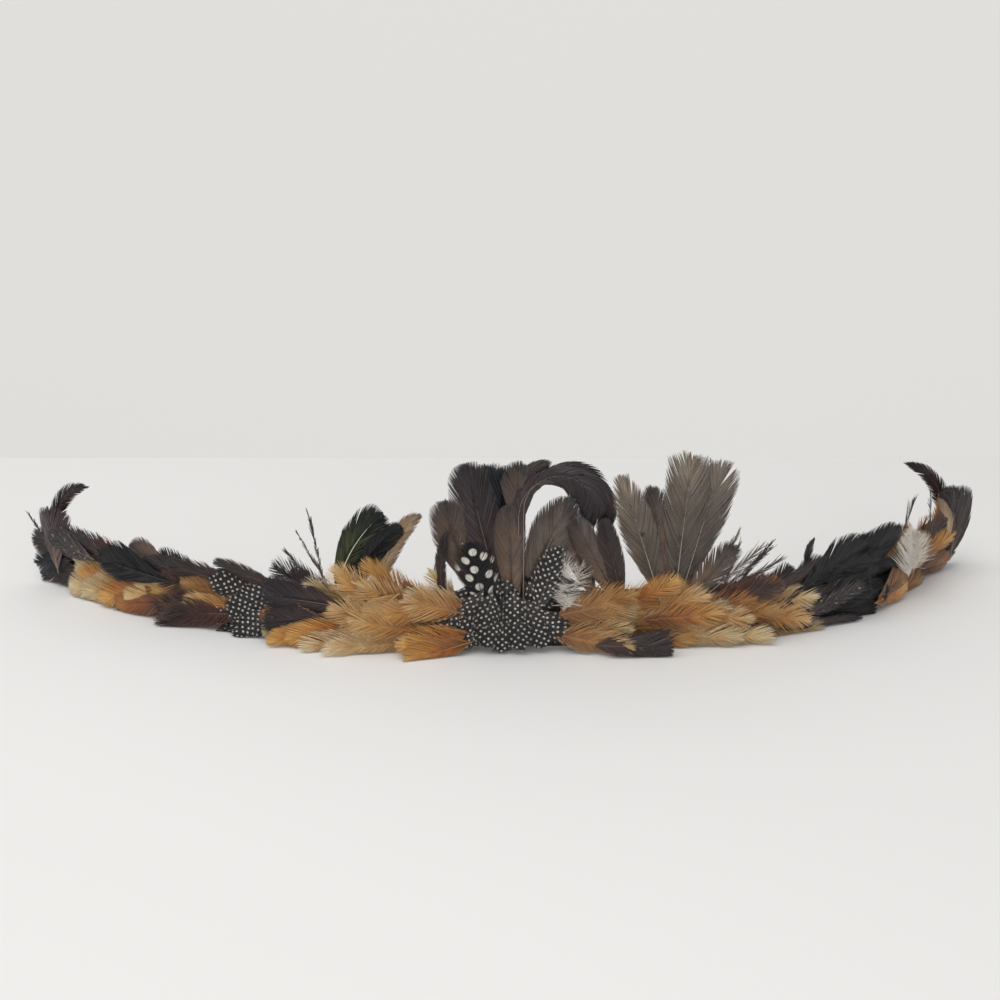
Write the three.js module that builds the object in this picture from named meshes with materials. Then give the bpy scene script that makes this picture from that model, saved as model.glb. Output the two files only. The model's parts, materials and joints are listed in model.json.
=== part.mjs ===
// Feather hat band: a felt strip and its ribbon lining stand on edge in a shallow crescent. Overlapping
// body feathers are glued along the outer face, tips away from the middle, and taller plumes rise from
// the strip's upper edge. A rosette of spotted feathers covers the quills in the middle.
//
// Millimetres and degrees. +X is the wearer's left along the middle of the band, +Y points into the
// crescent, towards the wearer's head, and +Z is up. The origin is on the table, under the middle of
// the felt strip.
import * as THREE from "three";

// ---- Strip ----
const BAND_LENGTH = 602;
const BAND_HEIGHT = 34;
const FELT_THICKNESS = 1.8;
const LINING_THICKNESS = 1.0;
const LINING_INSET = 2.5; // the lining stops this far inside the felt's edges
const END_CORNER_RADIUS = 8; // the strip's two free ends have rounded corners
const LENGTHS = 7; // the strip bends at the folds between its seven lengths
const FOLD_GAP = 0.3; // between two lengths of the strip
const GLUE_GAP = 0.3; // between layers that lie on each other

// How far each length turns from the one before it, from the middle outwards, as the band lies.
const LEFT_TURNS = [8, 14, 12];
const RIGHT_TURNS = [8, 18, 24];

// ---- Feathers ----
const FEATHER_THICKNESS = 1.0; // at the shaft; the vane thins to its edges
const QUILL_WIDTH = 1.8;
const QUILL_SHARE = 0.12; // of a feather's length is bare quill
const STATIONS = 8; // steps along a feather
const PLUME_SEAT = 7; // the plumes' quills are glued this far down from the strip's upper edge
const PLUME_LEAN = -0.07; // a plume leans back by this share of its height
const LAYER = FEATHER_THICKNESS + GLUE_GAP + 0.05; // from one layer of crossing feathers to the next
const ROW_LENGTH = 52;
const ROW_LOWER_EDGE = 2; // the row's lower edges stay this far above the table
const ROW_UPPER_GAP = 3; // and its upper edges this far below the plumes' quills
const ROW_PER_LENGTH = 3;
const ROW_FIRST = 0.12; // the first quill's place on its length of strip, as a share of that length
const ROW_MIDDLE_START = 0.256; // and of the innermost quills', from the middle
const ROW_OVERHANG = 9; // the last feathers pass the strip's free ends by this much at most
const ROSETTE_LAYER = 5;

// ---- Sizes that follow ----
const LENGTH = BAND_LENGTH / LENGTHS;
const FACE = LINING_THICKNESS + GLUE_GAP + FELT_THICKNESS; // lining's inner face to the felt's outer face
const SEAT = GLUE_GAP + FEATHER_THICKNESS / 2; // a glued feather's shaft lies this far off the felt
const ROW_PITCH = LENGTH / ROW_PER_LENGTH;
// A feather rises as it runs outwards, so each one clears the quill of the next.
const ROW_SLOPE = (1.3 * (FEATHER_THICKNESS + GLUE_GAP)) / ROW_PITCH;
const SEAT_HEIGHT = BAND_HEIGHT - PLUME_SEAT;
const ROW_WIDTH = SEAT_HEIGHT - ROW_UPPER_GAP - ROW_LOWER_EDGE;
const ROW_HEIGHT = ROW_LOWER_EDGE + ROW_WIDTH / 2;

// ---- Colours, sRGB ----
const COLOURS = {
  felt: "#1d1a19",
  lining: "#26211f",
  ginger: "#a8702a",
  buff: "#b8935f",
  russet: "#7d4320",
  dark_brown: "#3a2b27",
  black: "#141314",
  green_black: "#2a2d22",
  brown_plume: "#5c4a3f",
  dark_plume: "#2a1f20",
  grey_plume: "#786a5f",
  spotted: "#2b2726",
  white: "#d8d4cb",
};

// The feathers along the strip, from the middle outwards: one beside the rosette with the three of the
// inner length, then the three of each further length.
const LEFT_ROW = [
  ...["ginger", "ginger", "buff", "ginger"],
  ...["spotted", "russet", "buff"],
  ...["russet", "buff", "dark_brown"],
];
const RIGHT_ROW = [
  ...["ginger", "ginger", "buff", "russet"],
  ...["buff", "black", "black"],
  ...["russet", "russet", "dark_brown"],
];

// Plumes and cover feathers of each length. The heading is turned from +X towards +Z, and bend is the
// turn that the shaft makes after curlFrom of its length.
// A plume's root is at a share of its length of strip, from the middle on the middle length and from the
// inner fold on the others. Its quill is glued to the felt, and its vane runs in its own layer.
// A cover feather lies on row feather number over, past the tip of the row feather before that one, and
// up by a share of the row's half width.
const PLUMES = {
  centre: {
    blue_black_plume: { slot: "dark_plume", at: -0.07, heading: 93, length: 84, width: 26, layer: 0 },
    brown_plume_left: {
      slot: "brown_plume", at: -0.163, heading: 126, bend: -28, length: 72, width: 27, layer: 1,
    },
    brown_plume_broad: { slot: "brown_plume", at: 0.07, heading: 73, length: 69, width: 32, layer: 2 },
    dark_plume_broad: { slot: "dark_plume", at: -0.116, heading: 103, length: 86, width: 38, layer: 3 },
    arched_plume: {
      slot: "dark_plume", at: 0, heading: 92, bend: -175, curlFrom: 0.37, length: 136, width: 24, layer: 4,
    },
    brown_plume_right: { slot: "brown_plume", at: 0.465, heading: 103, length: 66, width: 22, layer: 1 },
    white_down_tuft: { slot: "white", at: 0.27, heading: 84, length: 34, width: 20, layer: 0 },
  },
  left_inner: {
    green_black_plume: {
      slot: "green_black", at: -0.66, heading: 92, bend: -50, length: 64, width: 24, layer: 1,
    },
    buff_plume: { slot: "buff", at: -0.4, heading: 98, bend: -64, length: 60, width: 16, layer: 0 },
    dark_tuft: { slot: "dark_brown", over: 1, past: 7, up: 0.55, heading: 150, length: 36, width: 22 },
  },
  left_middle: {
    black_cap_feather: { slot: "black", over: 1, past: 11, up: 0.75, heading: 171, length: 38, width: 26 },
  },
  left_outer: {
    left_end_plume: {
      slot: "dark_brown", at: -0.94, heading: 105, bend: -98, length: 54, width: 14, layer: 0,
    },
    left_end_cover: { slot: "black", over: 1, past: 2, up: 0.64, heading: 196, length: 32, width: 22 },
  },
  right_inner: {
    grey_plume_broad: { slot: "grey_plume", at: 0.55, heading: 71, length: 84, width: 32, layer: 0 },
    grey_plume_second: { slot: "grey_plume", at: 0.46, heading: 97, length: 80, width: 22, layer: 1 },
    grey_plume_third: { slot: "grey_plume", at: 0.505, heading: 86, length: 87, width: 24, layer: 2 },
    grey_plume_left: { slot: "grey_plume", at: 0.415, heading: 106, length: 82, width: 22, layer: 3 },
    grey_spike_plume: { slot: "grey_plume", at: 0.7, heading: 40, length: 48, width: 12, layer: 1 },
  },
  right_middle: {
    hooked_plume: {
      slot: "dark_brown", at: 0.49, heading: 100, bend: -60, curlFrom: 0.5, length: 28, width: 8, layer: 0,
    },
    black_plume_right: { slot: "black", over: 0, past: 6, up: 0.2, heading: 33, length: 70, width: 28 },
  },
  right_outer: {
    right_end_plume: {
      slot: "dark_brown", at: 0.93, heading: 92, bend: 86, length: 62, width: 16, layer: 0,
    },
    white_feather: { slot: "white", over: 0, past: 3, up: 0.2, heading: 102, length: 32, width: 16 },
  },
};

// The rosette's spotted feathers. Their quills go down to the felt between the plumes' quills, from roots
// raised by rise. One with no length reaches down to the row's lower edge.
const ROSETTE = {
  spotted_feather_lower_left: { at: -0.035, heading: 252, width: 24, layer: 0, rise: 5 },
  spotted_feather_lower_right: { at: 0.035, heading: 286, width: 24, layer: 1, rise: 5 },
  spotted_feather_right: { at: 0.11, heading: 72, length: 41, width: 18, layer: 2 },
  large_spotted_feather: { at: -0.21, heading: 101, length: 45, width: 26, layer: 3 },
};

function material(slot) {
  return new THREE.MeshStandardMaterial({ color: COLOURS[slot], roughness: 0.7, metalness: 0 });
}

function node(name, slot, geometry) {
  const mesh = new THREE.Mesh(geometry, material(slot));
  mesh.name = name;
  return mesh;
}

// A flat length of strip between x0 and x1, with its two corners rounded at a free end.
function stripShape(x0, x1, z0, z1, freeEnd) {
  const left = freeEnd < 0 ? END_CORNER_RADIUS : 0;
  const right = freeEnd > 0 ? END_CORNER_RADIUS : 0;
  const shape = new THREE.Shape();
  shape.moveTo(x0 + left, z0);
  shape.lineTo(x1 - right, z0);
  if (right) shape.absarc(x1 - right, z0 + right, right, -Math.PI / 2, 0, false);
  shape.lineTo(x1, z1 - right);
  if (right) shape.absarc(x1 - right, z1 - right, right, 0, Math.PI / 2, false);
  shape.lineTo(x0 + left, z1);
  if (left) shape.absarc(x0 + left, z1 - left, left, Math.PI / 2, Math.PI, false);
  shape.lineTo(x0, z0 + left);
  if (left) shape.absarc(x0 + left, z0 + left, left, Math.PI, 1.5 * Math.PI, false);
  return shape;
}

// Extrudes a shape drawn in X and Z from y0 towards the outer face.
function sheet(shape, thickness, y0) {
  const options = { depth: thickness, bevelEnabled: false, curveSegments: 5 };
  const geometry = new THREE.ExtrudeGeometry(shape, options);
  geometry.rotateX(Math.PI / 2);
  geometry.translate(0, y0, 0);
  return geometry;
}

// Felt and lining of one length, from x0 to x1. Y 0 is the lining's inner face, where the fold's axis is.
function addStrip(group, name, x0, x1, freeEnd) {
  const half = FOLD_GAP / 2;
  const low = freeEnd < 0 ? x0 : x0 + half;
  const high = freeEnd > 0 ? x1 : x1 - half;
  const felt = stripShape(low, high, 0, BAND_HEIGHT, freeEnd);
  const lining = stripShape(
    freeEnd < 0 ? low + LINING_INSET : low,
    freeEnd > 0 ? high - LINING_INSET : high,
    LINING_INSET,
    BAND_HEIGHT - LINING_INSET,
    freeEnd,
  );
  group.add(node("lining_" + name, "lining", sheet(lining, LINING_THICKNESS, 0)));
  group.add(node("felt_" + name, "felt", sheet(felt, FELT_THICKNESS, -LINING_THICKNESS - GLUE_GAP)));
}

// A vane's width at u, from its first barbs at 0 to its tip at 1, as a share of its full width.
function vaneShare(u) {
  const rise = Math.min(1, u / 0.3) ** 0.6;
  const fall = Math.max(0, 1 - ((u - 0.3) / 0.7) ** 2) ** 0.5;
  return u < 0.3 ? rise : fall;
}

// Half of the feather's width at t along its whole length.
function halfWidth(t, width) {
  if (t < QUILL_SHARE) return QUILL_WIDTH / 2;
  const u = (t - QUILL_SHARE) / (1 - QUILL_SHARE);
  return Math.max(QUILL_WIDTH, width * vaneShare(u)) / 2;
}

// The shaft's line in the strip's plane: straight to curlFrom, then an even turn through bend.
function shaftLine(feather) {
  const { x, z, heading, bend = 0, curlFrom = 0, length } = feather;
  const points = [{ x, z, angle: THREE.MathUtils.degToRad(heading) }];
  for (let i = 1; i <= STATIONS; i += 1) {
    const middle = (i - 0.5) / STATIONS;
    const turned = Math.max(0, (middle - curlFrom) / (1 - curlFrom));
    const angle = THREE.MathUtils.degToRad(heading + bend * turned);
    const last = points[i - 1];
    const step = length / STATIONS;
    points.push({ x: last.x + step * Math.cos(angle), z: last.z + step * Math.sin(angle), angle });
  }
  return points;
}

// A feather as one thin closed blade, four-sided across. heightAt(x, z, t) is the shaft's height over the
// felt's outer face, t along the feather.
function blade(feather, heightAt) {
  const profile = [new THREE.Vector2(0, 0)];
  for (let i = 0; i <= STATIONS; i += 1) profile.push(new THREE.Vector2(1, i));
  profile.push(new THREE.Vector2(0, STATIONS));
  const geometry = new THREE.LatheGeometry(profile, 4);
  const line = shaftLine(feather);
  const position = geometry.attributes.position;
  for (let i = 0; i < position.count; i += 1) {
    const station = Math.round(position.getY(i));
    const { x, z, angle } = line[station];
    const across = Math.round(position.getX(i)) * halfWidth(station / STATIONS, feather.width);
    const px = x + across * Math.sin(angle);
    const pz = z - across * Math.cos(angle);
    const out = heightAt(px, pz, station / STATIONS) + (Math.round(position.getZ(i)) * FEATHER_THICKNESS) / 2;
    position.setXYZ(i, px, -FACE - out, pz);
  }
  return geometry;
}

// How far out the row's feather number k on a length is rooted from that length's inner fold.
function rowReach(k) {
  return ROW_FIRST * LENGTH + k * ROW_PITCH;
}

// Glues a row feather at x on one length of the strip; side is -1 to the left and 1 to the right.
function addRowFeather(group, name, slot, x, side, length) {
  const heading = side > 0 ? 0 : 180;
  const feather = { x, z: ROW_HEIGHT, heading, length, width: ROW_WIDTH };
  const heightAt = (px) => SEAT + ROW_SLOPE * Math.max(0, side * (px - x));
  group.add(node(name, slot, blade(feather, heightAt)));
}

// Glues a plume's quill to the felt near the strip's upper edge and lifts its vane to its layer.
function addPlume(group, name, plume, slot, layer) {
  const z = SEAT_HEIGHT + (plume.rise ?? 0);
  const down = -Math.sin(THREE.MathUtils.degToRad(plume.heading));
  const length = plume.length ?? (z - ROW_LOWER_EDGE) / down;
  const feather = { ...plume, x: plume.at * LENGTH, z, length };
  const heightAt = (px, pz, t) => {
    const lift = LAYER * layer * Math.min(1, t / QUILL_SHARE);
    return SEAT + lift + PLUME_LEAN * Math.max(0, pz - BAND_HEIGHT);
  };
  group.add(node(name, slot, blade(feather, heightAt)));
}

// Glues a cover feather along the row feather below it, parallel to it.
function addCover(group, name, cover, side) {
  const reach = rowReach(cover.over - 1) + ROW_LENGTH + cover.past;
  const feather = { ...cover, x: side * reach, z: ROW_HEIGHT + (cover.up * ROW_WIDTH) / 2 };
  const heightAt = (px) => SEAT + LAYER + ROW_SLOPE * Math.max(0, side * px - rowReach(cover.over));
  group.add(node(name, cover.slot, blade(feather, heightAt)));
}

function addPlumes(group, length, side) {
  for (const [name, plume] of Object.entries(PLUMES[length])) {
    if (plume.over === undefined) addPlume(group, name, plume, plume.slot, plume.layer);
    else addCover(group, name, plume, side);
  }
}

// The three lengths of one side, each nested in the one before it at their fold.
function addSide(middle, side, word, turns, row) {
  let parent = middle;
  let foldX = (side * LENGTH) / 2;
  turns.forEach((turn, i) => {
    const name = word + "_" + ["inner", "middle", "outer"][i];
    const group = new THREE.Group();
    group.position.x = foldX;
    group.rotation.z = side * THREE.MathUtils.degToRad(turn);
    const freeEnd = i === turns.length - 1 ? side : 0;
    addStrip(group, name, Math.min(0, side * LENGTH), Math.max(0, side * LENGTH), freeEnd);
    for (let k = 0; k < ROW_PER_LENGTH; k += 1) {
      const number = 2 + i * ROW_PER_LENGTH + k;
      const reach = rowReach(k);
      const room = freeEnd ? LENGTH + ROW_OVERHANG - reach : ROW_LENGTH;
      const length = Math.min(ROW_LENGTH, room);
      addRowFeather(group, `${word}_row_feather_${number}`, row[number - 1], side * reach, side, length);
    }
    addPlumes(group, name, side);
    parent.add(group);
    parent = group;
    foldX = side * LENGTH;
  });
}

function featherBand() {
  const band = new THREE.Group();
  const middle = new THREE.Group();
  middle.position.y = LINING_THICKNESS + GLUE_GAP + FELT_THICKNESS / 2;
  const start = ROW_MIDDLE_START * LENGTH;
  addStrip(middle, "centre", -LENGTH / 2, LENGTH / 2, 0);
  addRowFeather(middle, "left_row_feather_1", LEFT_ROW[0], -start, -1, ROW_LENGTH);
  addRowFeather(middle, "right_row_feather_1", RIGHT_ROW[0], start, 1, ROW_LENGTH);
  addPlumes(middle, "centre", 0);
  for (const [name, feather] of Object.entries(ROSETTE)) {
    addPlume(middle, name, feather, "spotted", ROSETTE_LAYER + feather.layer);
  }
  addSide(middle, -1, "left", LEFT_TURNS, LEFT_ROW);
  addSide(middle, 1, "right", RIGHT_TURNS, RIGHT_ROW);
  band.add(middle);
  return band;
}

export default featherBand();
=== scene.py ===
"""Feather hat band: a felt strip with a ribbon lining, covered with overlapping body feathers, with a
spotted rosette in the middle and taller plumes along the upper edge. Metres, +Z up, as the frame."""
import json
import math
from functools import partial

import bmesh
import bpy
import numpy as np
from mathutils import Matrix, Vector


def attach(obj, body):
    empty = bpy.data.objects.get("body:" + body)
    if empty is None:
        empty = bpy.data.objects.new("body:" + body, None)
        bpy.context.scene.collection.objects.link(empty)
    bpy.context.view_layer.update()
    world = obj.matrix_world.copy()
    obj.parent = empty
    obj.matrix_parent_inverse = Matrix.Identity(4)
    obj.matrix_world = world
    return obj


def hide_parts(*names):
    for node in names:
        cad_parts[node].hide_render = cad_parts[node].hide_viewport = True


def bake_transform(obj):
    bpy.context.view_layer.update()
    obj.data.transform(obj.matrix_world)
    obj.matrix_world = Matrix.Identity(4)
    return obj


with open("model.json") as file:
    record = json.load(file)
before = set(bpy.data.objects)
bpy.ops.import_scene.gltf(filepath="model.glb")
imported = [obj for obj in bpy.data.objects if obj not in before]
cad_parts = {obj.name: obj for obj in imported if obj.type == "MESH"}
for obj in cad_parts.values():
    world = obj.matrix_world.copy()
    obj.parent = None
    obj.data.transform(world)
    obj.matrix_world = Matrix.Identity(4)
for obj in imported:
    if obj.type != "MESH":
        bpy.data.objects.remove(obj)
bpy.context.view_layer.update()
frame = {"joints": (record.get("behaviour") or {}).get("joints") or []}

MM = 0.001

# ---- The strip, as the frame holds it, in millimetres and degrees ----
LENGTH = 602 / 7  # from one fold to the next
HEIGHT = 34
FELT = 1.8
LINING = 1.0
LINING_INSET = 2.5
GLUE = 0.3
FACE = LINING + GLUE + FELT  # from the lining's inner face to the felt's outer face
CORNER = 8
TURNS = {"left": (8, 14, 12), "right": (8, 18, 24)}
PLACES = ("inner", "middle", "outer")
SIDES = {"left": -1, "right": 1}
SEAT = 27  # height of the plumes' roots
ROW_HEIGHT = 13  # height of the row feathers' shafts


def body_frames():
    """For each body: its origin on the lining's inner face, the way along it and the way out of it."""
    folds = {joint["child"]: joint["pos_m"] for joint in frame["joints"]}
    inner_face = folds["left_inner"][1]
    frames = {"centre": (np.array([0, inner_face, 0]), np.array([1, 0, 0]), np.array([0, -1, 0]))}
    for word, side in SIDES.items():
        angle = 0
        for place, turn in zip(PLACES, TURNS[word]):
            angle += side * math.radians(turn)
            body = f"{word}_{place}"
            origin = np.array([folds[body][0], folds[body][1], 0])
            along = np.array([math.cos(angle), math.sin(angle), 0])
            out = np.array([math.sin(angle), -math.cos(angle), 0])
            frames[body] = (origin, along, out)
    return frames


BODIES = body_frames()


# ---- Nodes ----
MATH = "ShaderNodeMath"
COMBINE = "ShaderNodeCombineXYZ"
RANDOM = "FunctionNodeRandomValue"
STORE = "GeometryNodeStoreNamedAttribute"
MESH_LINE = "GeometryNodeMeshLine"
TO_POINTS = "GeometryNodeMeshToPoints"
LINE = "GeometryNodeCurvePrimitiveLine"
RESAMPLE = "GeometryNodeResampleCurve"
CIRCLE = "GeometryNodeCurvePrimitiveCircle"
SWEEP = "GeometryNodeCurveToMesh"
SPREAD = "GeometryNodeInstanceOnPoints"
REALIZE = "GeometryNodeRealizeInstances"
SET_MATERIAL = "GeometryNodeSetMaterial"
ATTRIBUTE = "ShaderNodeAttribute"
MAPPING = "ShaderNodeMapping"
NOISE = "ShaderNodeTexNoise"
RANGE = "ShaderNodeMapRange"
MIX = "ShaderNodeMix"


def put(tree, kind, *feeds, output=0, inputs=None, **settings):
    """Adds one node with its settings and gives one of its outputs. The feeds fill its inputs in order, and
    inputs fills others by name or number: each is a link, a value, or None."""
    node = tree.nodes.new(kind)
    for name, value in settings.items():
        setattr(node, name, value)
    for place, feed in [*enumerate(feeds), *(inputs or {}).items()]:
        if isinstance(feed, bpy.types.NodeSocket):
            tree.links.new(feed, node.inputs[place])
        elif feed is not None:
            node.inputs[place].default_value = feed
    return node.outputs[output] if len(node.outputs) else None


def sized_tree(name, sizes):
    """A geometry tree with a named input for each size, and its group input node."""
    tree = bpy.data.node_groups.new(name, "GeometryNodeTree")
    tree.interface.new_socket("Geometry", in_out="INPUT", socket_type="NodeSocketGeometry")
    for label, kind in sizes.items():
        tree.interface.new_socket(label, in_out="INPUT", socket_type="NodeSocket" + kind)
    tree.interface.new_socket("Geometry", in_out="OUTPUT", socket_type="NodeSocketGeometry")
    return tree, tree.nodes.new("NodeGroupInput").outputs


def made_by(tree, sizes):
    """The plain mesh that the tree makes with these sizes."""
    holder = bpy.data.objects.new("holder", bpy.data.meshes.new("holder"))
    bpy.context.collection.objects.link(holder)
    modifier = holder.modifiers.new("nodes", "NODES")
    modifier.node_group = tree
    for item in tree.interface.items_tree:
        if item.in_out == "INPUT" and item.name in sizes:
            modifier[item.identifier] = sizes[item.name]
    graph = bpy.context.evaluated_depsgraph_get()
    mesh = bpy.data.meshes.new_from_object(holder.evaluated_get(graph))
    bpy.data.objects.remove(holder)
    return mesh


FEATHER_SIZES = {
    "Length": "Float",
    "Width": "Float",
    "Bare Quill": "Float",
    "Spacing": "Float",
    "Barb Width": "Float",
    "Barb Thickness": "Float",
    "Base Angle": "Float",
    "Tip Reach": "Float",
    "Filling": "Float",
    "Tip Power": "Float",
    "Tip Round": "Float",
    "Ragged": "Float",
    "Wild": "Float",
    "Shaft Radius": "Float",
    "Seed": "Int",
    "Finish": "Material",
}


# What differs by chance from barb to barb. The order sets each one's seed.
BARB_CHANCES = {
    "shorter": (0, 1),
    "turned": (-0.5, 0.5),
    "lifted": (-0.5, 0.5),
    "rolled": (-0.45, 0.45),
    "half width": (0.38, 0.56),
    "tone": (0, 1),
}
BARB_POINTS = 6
SHAFT_POINTS = 18
SHAFT_END = 0.98  # the shaft stops just inside the last barbs
SHAFT_TAPER = 0.88  # of its radius is gone at the tip
LEAST_ANGLE = 0.004  # keeps the last barbs from lying on the shaft


def feather_tree():
    """A flat feather along +X from its quill's end: barbs on both sides of a tapered shaft."""
    tree, size = sized_tree("feather", FEATHER_SIZES)
    add = partial(put, tree)

    start = add(MATH, size["Length"], size["Bare Quill"], operation="MULTIPLY")
    vane = add(MATH, size["Length"], start, operation="SUBTRACT")
    count = add(MATH, vane, size["Spacing"], operation="DIVIDE")
    line = add(MESH_LINE, count, None, add(COMBINE, start), add(COMBINE, size["Spacing"]))
    doubled = add("GeometryNodeDuplicateElements", add(TO_POINTS, line), None, 2, domain="POINT")
    side = add(MATH, doubled.node.outputs[1], 2, operation="MULTIPLY")
    side = add(MATH, side, 1, operation="SUBTRACT")
    chance = {}
    for number, (label, (low, high)) in enumerate(BARB_CHANCES.items(), 1):
        seed = add(MATH, size["Seed"], number)
        chance[label] = add(RANDOM, None, None, low, high, output=1, inputs={"Seed": seed}, data_type="FLOAT")

    x = add("ShaderNodeSeparateXYZ", add("GeometryNodeInputPosition"))
    root = add(MATH, x, size["Length"], operation="DIVIDE")
    u = add(MATH, x, start, operation="SUBTRACT")
    u = add(MATH, u, vane, operation="DIVIDE")
    # The vane fills out over its first share.
    filled = add(MATH, add(MATH, u, 0.02), size["Filling"], operation="DIVIDE")
    filled = add(MATH, filled, 1, operation="MINIMUM")
    filled = add(MATH, filled, 0.6, operation="POWER")
    lost = add(MATH, size["Ragged"], chance["shorter"], operation="MULTIPLY")
    left = add(MATH, 1, lost, operation="SUBTRACT")
    # A barb leaves at the base angle near the quill, and closes towards the shaft as the tip comes near.
    opened = add(MATH, u, size["Tip Round"], operation="POWER")
    opened = add(MATH, 1, opened, operation="SUBTRACT")
    angle = add(MATH, size["Base Angle"], opened, operation="MULTIPLY")
    angle = add(MATH, angle, LEAST_ANGLE)
    # It ends on the vane's outline: half the width to the side, or the feather's end in front of it.
    half = add(MATH, size["Width"], 0.5, operation="MULTIPLY")
    half = add(MATH, half, filled, operation="MULTIPLY")
    beside = add(MATH, add(MATH, angle, operation="SINE"), half, operation="DIVIDE")
    beside = add(MATH, beside, size["Tip Power"], operation="POWER")
    end = add(MATH, size["Length"], add(MATH, size["Tip Reach"], 1), operation="MULTIPLY")
    before = add(MATH, 1, add(MATH, end, x, operation="SUBTRACT"), operation="DIVIDE")
    before = add(MATH, before, size["Tip Power"], operation="POWER")
    inverse = add(MATH, -1, size["Tip Power"], operation="DIVIDE")
    length = add(MATH, add(MATH, beside, before), inverse, operation="POWER")
    length = add(MATH, length, left, operation="MULTIPLY")
    angle = add(MATH, angle, add(MATH, chance["turned"], size["Wild"], operation="MULTIPLY"))
    pitch = add(MATH, chance["lifted"], size["Wild"], operation="MULTIPLY")
    yaw = add(MATH, side, angle, operation="MULTIPLY")
    turned = add(COMBINE, chance["rolled"], pitch, yaw)
    width = add(MATH, size["Barb Width"], chance["half width"], operation="MULTIPLY")
    thickness = add(MATH, size["Barb Thickness"], 0.5, operation="MULTIPLY")
    scale = add(COMBINE, length, width, thickness)
    roots = doubled
    for label, value in (("root", root), ("side", side), ("tone", chance["tone"])):
        roots = add(STORE, roots, None, label, inputs={"Value": value}, data_type="FLOAT", domain="POINT")

    run = add("GeometryNodeSplineParameter")
    barb = add(RESAMPLE, add(LINE, (0, 0, 0), (1, 0, 0)), None, BARB_POINTS)
    barb = add(STORE, barb, None, "across", inputs={"Value": run}, data_type="FLOAT", domain="POINT")
    taper = add(MATH, run, 3.5, operation="POWER")
    taper = add(MATH, 1, taper, operation="SUBTRACT")
    taper = add(MATH, taper, 0.05, operation="MAXIMUM")
    taper = add(MATH, taper, 0.7, operation="POWER")
    barb = add(SWEEP, barb, add(CIRCLE, 3), taper, True)
    barbs = add(SPREAD, roots, None, barb, inputs={"Rotation": turned, "Scale": scale})

    end = add(COMBINE, add(MATH, size["Length"], SHAFT_END, operation="MULTIPLY"))
    shaft = add(RESAMPLE, add(LINE, (0, 0, 0), end), None, SHAFT_POINTS)
    shaft = add(STORE, shaft, None, "root", inputs={"Value": run}, data_type="FLOAT", domain="POINT")
    thin = add(MATH, run, SHAFT_TAPER, operation="MULTIPLY")
    thin = add(MATH, 1, thin, operation="SUBTRACT")
    thin = add(MATH, size["Shaft Radius"], thin, operation="MULTIPLY")
    shaft = add(SWEEP, shaft, add(CIRCLE, 6), thin, True)
    for label, value in (("shaft", 1.0), ("tone", 0.5)):
        shaft = add(STORE, shaft, None, label, inputs={"Value": value}, data_type="FLOAT", domain="POINT")

    joined = add("GeometryNodeJoinGeometry", barbs)
    tree.links.new(shaft, joined.node.inputs[0])
    finished = add(SET_MATERIAL, add(REALIZE, joined), None, size["Finish"])
    add("NodeGroupOutput", finished)
    return tree


FEATHER = feather_tree()

STITCH_SIZES = {"Count": "Int", "Pitch": "Float", "Stitch": "Float", "Thread": "Float", "Finish": "Material"}
STITCH_SLANT = 0.22


def stitch_tree():
    """A straight run of small slanted stitches along +X, centred on the origin."""
    tree, size = sized_tree("stitches", STITCH_SIZES)
    add = partial(put, tree)

    gaps = add(MATH, size["Count"], 1, operation="SUBTRACT")
    span = add(MATH, gaps, size["Pitch"], operation="MULTIPLY")
    first = add(COMBINE, add(MATH, span, -0.5, operation="MULTIPLY"))
    line = add(MESH_LINE, size["Count"], None, first, add(COMBINE, size["Pitch"]))
    half = add(MATH, size["Stitch"], 0.5, operation="MULTIPLY")
    low = add(COMBINE, add(MATH, half, -1, operation="MULTIPLY"))
    thread = add(RESAMPLE, add(LINE, low, add(COMBINE, half)), None, 5)
    # The thread is thickest in the middle of a stitch and dips into the ribbon at its ends.
    run = add("GeometryNodeSplineParameter")
    crown = add(MATH, run, add(MATH, 1, run, operation="SUBTRACT"), operation="MULTIPLY")
    crown = add(MATH, crown, 4, operation="MULTIPLY")
    crown = add(MATH, crown, 0.12, operation="MAXIMUM")
    crown = add(MATH, crown, 0.5, operation="POWER")
    thick = add(MATH, crown, size["Thread"], operation="MULTIPLY")
    stitch = add(SWEEP, thread, add(CIRCLE, 6), thick, True)
    stitches = add(SPREAD, add(TO_POINTS, line), None, stitch, inputs={"Rotation": (0, 0, STITCH_SLANT)})
    finished = add(SET_MATERIAL, add(REALIZE, stitches), None, size["Finish"])
    add("NodeGroupOutput", finished)
    return tree


STITCHES = stitch_tree()


# ---- Finishes ----
def colour(text):
    """An sRGB hex value as linear light."""
    parts = [int(text[i : i + 2], 16) / 255 for i in (1, 3, 5)]
    return (*[c / 12.92 if c <= 0.04045 else ((c + 0.055) / 1.055) ** 2.4 for c in parts], 1)


KERATIN_IOR = 1.54


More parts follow.
